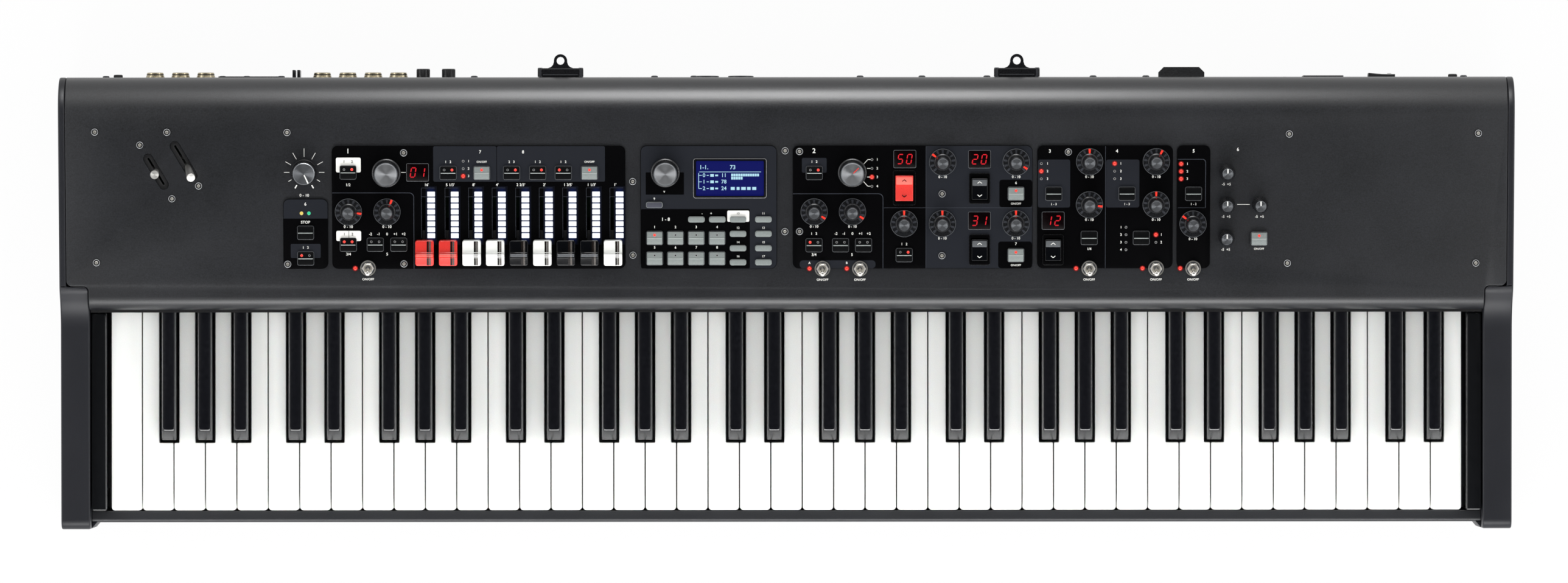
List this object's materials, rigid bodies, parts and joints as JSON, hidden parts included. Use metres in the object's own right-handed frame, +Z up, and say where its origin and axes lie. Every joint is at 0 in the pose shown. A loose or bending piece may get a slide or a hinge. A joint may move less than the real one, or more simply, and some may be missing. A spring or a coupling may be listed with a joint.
{
  "type": "drawbar organ",
  "caption": "Stage keyboard with hinged key groups, a sloping deck of sliding drawbars, levers, turning knobs and tilting switches, on rubber feet.",
  "frame": {"origin": "on the floor under the middle of the instrument's bounding box", "axes": "+X to the player's right along the keys, +Y away from the player, +Z up"},
  "size_m": [1.084, 0.355, 0.1443],
  "materials": {
    "paint": "fine matte texture",
    "moulding": "satin",
    "gloss": "gloss",
    "plated": "plated",
    "spun": "spun",
    "glass": "clear blue lens over a display",
    "board": "coated circuit board",
    "red": "gloss",
    "ivory": "gloss",
    "black_key": "gloss",
    "rubber": "matte"
  },
  "bodies": {
    "case": {"top_panel": "paint", "bottom_pan": "paint", "jack_panel": "paint", "left_end_block": "moulding", "right_end_block": "moulding", "key_slip": "moulding", "left_cheek_block": "gloss", "right_cheek_block": "gloss", "key_bed": "plated", "organ_fascia": "gloss", "display_fascia": "gloss", "voice_fascia": "gloss", "effect_fascia": "gloss", "display_window": "glass", "control_board": "board", "left_stand_bracket": "plated", "right_stand_bracket": "plated", "front_left_foot": "rubber", "front_right_foot": "rubber", "rear_left_foot": "rubber", "rear_right_foot": "rubber"},
    "white_keys_1": {"white_keys_1": "ivory"},
    "black_keys_1": {"black_keys_1": "black_key"},
    "white_keys_2": {"white_keys_2": "ivory"},
    "black_keys_2": {"black_keys_2": "black_key"},
    "white_keys_3": {"white_keys_3": "ivory"},
    "black_keys_3": {"black_keys_3": "black_key"},
    "white_keys_4": {"white_keys_4": "ivory"},
    "black_keys_4": {"black_keys_4": "black_key"},
    "white_keys_5": {"white_keys_5": "ivory"},
    "black_keys_5": {"black_keys_5": "black_key"},
    "white_keys_6": {"white_keys_6": "ivory"},
    "black_keys_6": {"black_keys_6": "black_key"},
    "white_keys_7": {"white_keys_7": "ivory"},
    "black_keys_7": {"black_keys_7": "black_key"},
    "drawbar_1": {"drawbar_1": "red"},
    "drawbar_2": {"drawbar_2": "red"},
    "drawbar_3": {"drawbar_3": "ivory"},
    "drawbar_4": {"drawbar_4": "ivory"},
    "drawbar_5": {"drawbar_5": "black_key"},
    "drawbar_6": {"drawbar_6": "ivory"},
    "drawbar_7": {"drawbar_7": "black_key"},
    "drawbar_8": {"drawbar_8": "black_key"},
    "drawbar_9": {"drawbar_9": "ivory"},
    "pitch_lever": {"pitch_lever": "spun"},
    "modulation_lever": {"modulation_lever": "spun"},
    "organ_toggle": {"organ_toggle": "plated"},
    "voice_a_toggle": {"voice_a_toggle": "plated"},
    "voice_b_toggle": {"voice_b_toggle": "plated"},
    "effect_toggle": {"effect_toggle": "plated"},
    "speaker_toggle": {"speaker_toggle": "plated"},
    "reverb_toggle": {"reverb_toggle": "plated"},
    "organ_model_knob": {"organ_model_knob": "spun"},
    "data_knob": {"data_knob": "spun"},
    "voice_knob": {"voice_knob": "spun"},
    "master_volume_knob": {"master_volume_knob": "spun"},
    "voice_select_rocker": {"voice_select_rocker": "moulding"},
    "effect_one_rocker": {"effect_one_rocker": "moulding"},
    "effect_two_rocker": {"effect_two_rocker": "moulding"},
    "effect_three_rocker": {"effect_three_rocker": "moulding"}
  },
  "joints": [
    {"name": "white_keys_1_hinge", "type": "hinge", "parent": "case", "child": "white_keys_1", "pos_m": [-0.4465, 0.026, 0.066], "axis": [1, 0, 0], "range_deg": [0, 2.9], "stiffness_Nm_per_rad": 8, "springref_deg": -11.46},
    {"name": "black_keys_1_hinge", "type": "hinge", "parent": "case", "child": "black_keys_1", "pos_m": [-0.4465, 0.038, 0.076], "axis": [1, 0, 0], "range_deg": [0, 3.7], "stiffness_Nm_per_rad": 4, "springref_deg": -11.46},
    {"name": "white_keys_2_hinge", "type": "hinge", "parent": "case", "child": "white_keys_2", "pos_m": [-0.3055, 0.026, 0.066], "axis": [1, 0, 0], "range_deg": [0, 2.9], "stiffness_Nm_per_rad": 8, "springref_deg": -11.46},
    {"name": "black_keys_2_hinge", "type": "hinge", "parent": "case", "child": "black_keys_2", "pos_m": [-0.3055, 0.038, 0.076], "axis": [1, 0, 0], "range_deg": [0, 3.7], "stiffness_Nm_per_rad": 4, "springref_deg": -11.46},
    {"name": "white_keys_3_hinge", "type": "hinge", "parent": "case", "child": "white_keys_3", "pos_m": [-0.141, 0.026, 0.066], "axis": [1, 0, 0], "range_deg": [0, 2.9], "stiffness_Nm_per_rad": 8, "springref_deg": -11.46},
    {"name": "black_keys_3_hinge", "type": "hinge", "parent": "case", "child": "black_keys_3", "pos_m": [-0.141, 0.038, 0.076], "axis": [1, 0, 0], "range_deg": [0, 3.7], "stiffness_Nm_per_rad": 4, "springref_deg": -11.46},
    {"name": "white_keys_4_hinge", "type": "hinge", "parent": "case", "child": "white_keys_4", "pos_m": [0.0235, 0.026, 0.066], "axis": [1, 0, 0], "range_deg": [0, 2.9], "stiffness_Nm_per_rad": 8, "springref_deg": -11.46},
    {"name": "black_keys_4_hinge", "type": "hinge", "parent": "case", "child": "black_keys_4", "pos_m": [0.0235, 0.038, 0.076], "axis": [1, 0, 0], "range_deg": [0, 3.7], "stiffness_Nm_per_rad": 4, "springref_deg": -11.46},
    {"name": "white_keys_5_hinge", "type": "hinge", "parent": "case", "child": "white_keys_5", "pos_m": [0.188, 0.026, 0.066], "axis": [1, 0, 0], "range_deg": [0, 2.9], "stiffness_Nm_per_rad": 8, "springref_deg": -11.46},
    {"name": "black_keys_5_hinge", "type": "hinge", "parent": "case", "child": "black_keys_5", "pos_m": [0.188, 0.038, 0.076], "axis": [1, 0, 0], "range_deg": [0, 3.7], "stiffness_Nm_per_rad": 4, "springref_deg": -11.46},
    {"name": "white_keys_6_hinge", "type": "hinge", "parent": "case", "child": "white_keys_6", "pos_m": [0.3525, 0.026, 0.066], "axis": [1, 0, 0], "range_deg": [0, 2.9], "stiffness_Nm_per_rad": 8, "springref_deg": -11.46},
    {"name": "black_keys_6_hinge", "type": "hinge", "parent": "case", "child": "black_keys_6", "pos_m": [0.3525, 0.038, 0.076], "axis": [1, 0, 0], "range_deg": [0, 3.7], "stiffness_Nm_per_rad": 4, "springref_deg": -11.46},
    {"name": "white_keys_7_hinge", "type": "hinge", "parent": "case", "child": "white_keys_7", "pos_m": [0.47, 0.026, 0.066], "axis": [1, 0, 0], "range_deg": [0, 2.9], "stiffness_Nm_per_rad": 8, "springref_deg": -11.46},
    {"name": "black_keys_7_hinge", "type": "hinge", "parent": "case", "child": "black_keys_7", "pos_m": [0.47, 0.038, 0.076], "axis": [1, 0, 0], "range_deg": [0, 3.7], "stiffness_Nm_per_rad": 4, "springref_deg": -11.46},
    {"name": "drawbar_1_slide", "type": "slide", "parent": "case", "child": "drawbar_1", "axis": [0, 0.9914, 0.1305], "range_m": [0, 0.037]},
    {"name": "drawbar_2_slide", "type": "slide", "parent": "case", "child": "drawbar_2", "axis": [0, 0.9914, 0.1305], "range_m": [0, 0.037]},
    {"name": "drawbar_3_slide", "type": "slide", "parent": "case", "child": "drawbar_3", "axis": [0, 0.9914, 0.1305], "range_m": [0, 0.037]},
    {"name": "drawbar_4_slide", "type": "slide", "parent": "case", "child": "drawbar_4", "axis": [0, 0.9914, 0.1305], "range_m": [0, 0.037]},
    {"name": "drawbar_5_slide", "type": "slide", "parent": "case", "child": "drawbar_5", "axis": [0, 0.9914, 0.1305], "range_m": [0, 0.037]},
    {"name": "drawbar_6_slide", "type": "slide", "parent": "case", "child": "drawbar_6", "axis": [0, 0.9914, 0.1305], "range_m": [0, 0.037]},
    {"name": "drawbar_7_slide", "type": "slide", "parent": "case", "child": "drawbar_7", "axis": [0, 0.9914, 0.1305], "range_m": [0, 0.037]},
    {"name": "drawbar_8_slide", "type": "slide", "parent": "case", "child": "drawbar_8", "axis": [0, 0.9914, 0.1305], "range_m": [0, 0.037]},
    {"name": "drawbar_9_slide", "type": "slide", "parent": "case", "child": "drawbar_9", "axis": [0, 0.9914, 0.1305], "range_m": [0, 0.037]},
    {"name": "pitch_lever_pivot", "type": "hinge", "parent": "case", "child": "pitch_lever", "pos_m": [-0.4693, 0.09212, 0.10423], "axis": [0.8616, 0.5032, 0.0662], "range_deg": [-18, 18], "stiffness_Nm_per_rad": 0.05},
    {"name": "modulation_lever_pivot", "type": "hinge", "parent": "case", "child": "modulation_lever", "pos_m": [-0.4486, 0.10015, 0.10529], "axis": [0.8616, 0.5032, 0.0662], "range_deg": [-36, 0]},
    {"name": "organ_toggle_pivot", "type": "hinge", "parent": "case", "child": "organ_toggle", "pos_m": [-0.3118, 0.0175, 0.1171], "axis": [1, 0, 0], "range_deg": [-24, 0]},
    {"name": "voice_a_toggle_pivot", "type": "hinge", "parent": "case", "child": "voice_a_toggle", "pos_m": [0.0268, 0.01691, 0.11703], "axis": [1, 0, 0], "range_deg": [-24, 0]},
    {"name": "voice_b_toggle_pivot", "type": "hinge", "parent": "case", "child": "voice_b_toggle", "pos_m": [0.0547, 0.01691, 0.11703], "axis": [1, 0, 0], "range_deg": [-24, 0]},
    {"name": "effect_toggle_pivot", "type": "hinge", "parent": "case", "child": "effect_toggle", "pos_m": [0.2256, 0.01691, 0.11703], "axis": [1, 0, 0], "range_deg": [-24, 0]},
    {"name": "speaker_toggle_pivot", "type": "hinge", "parent": "case", "child": "speaker_toggle", "pos_m": [0.2754, 0.01691, 0.11703], "axis": [1, 0, 0], "range_deg": [-24, 0]},
    {"name": "reverb_toggle_pivot", "type": "hinge", "parent": "case", "child": "reverb_toggle", "pos_m": [0.303, 0.01691, 0.11703], "axis": [1, 0, 0], "range_deg": [-24, 0]},
    {"name": "organ_model_knob_turn", "type": "hinge", "parent": "case", "child": "organ_model_knob", "pos_m": [-0.2979, 0.08797, 0.1289], "axis": [0, -0.1305, 0.9914], "continuous": true},
    {"name": "data_knob_turn", "type": "hinge", "parent": "case", "child": "data_knob", "pos_m": [-0.0902, 0.08797, 0.1289], "axis": [0, -0.1305, 0.9914], "continuous": true},
    {"name": "voice_knob_turn", "type": "hinge", "parent": "case", "child": "voice_knob", "pos_m": [0.049, 0.08797, 0.1289], "axis": [0, -0.1305, 0.9914], "continuous": true},
    {"name": "master_volume_knob_turn", "type": "hinge", "parent": "case", "child": "master_volume_knob", "pos_m": [-0.359, 0.08826, 0.12894], "axis": [0, -0.1305, 0.9914], "range_deg": [0, 300]},
    {"name": "voice_select_rocker_pivot", "type": "hinge", "parent": "case", "child": "voice_select_rocker", "pos_m": [0.0877, 0.07715, 0.12374], "axis": [1, 0, 0], "range_deg": [-5, 5], "stiffness_Nm_per_rad": 0.2},
    {"name": "effect_one_rocker_pivot", "type": "hinge", "parent": "case", "child": "effect_one_rocker", "pos_m": [0.1438, 0.07665, 0.12368], "axis": [1, 0, 0], "range_deg": [-5, 5], "stiffness_Nm_per_rad": 0.2},
    {"name": "effect_two_rocker_pivot", "type": "hinge", "parent": "case", "child": "effect_two_rocker", "pos_m": [0.1438, 0.03104, 0.11768], "axis": [1, 0, 0], "range_deg": [-5, 5], "stiffness_Nm_per_rad": 0.2},
    {"name": "effect_three_rocker_pivot", "type": "hinge", "parent": "case", "child": "effect_three_rocker", "pos_m": [0.1986, 0.03104, 0.11768], "axis": [1, 0, 0], "range_deg": [-5, 5], "stiffness_Nm_per_rad": 0.2}
  ]
}
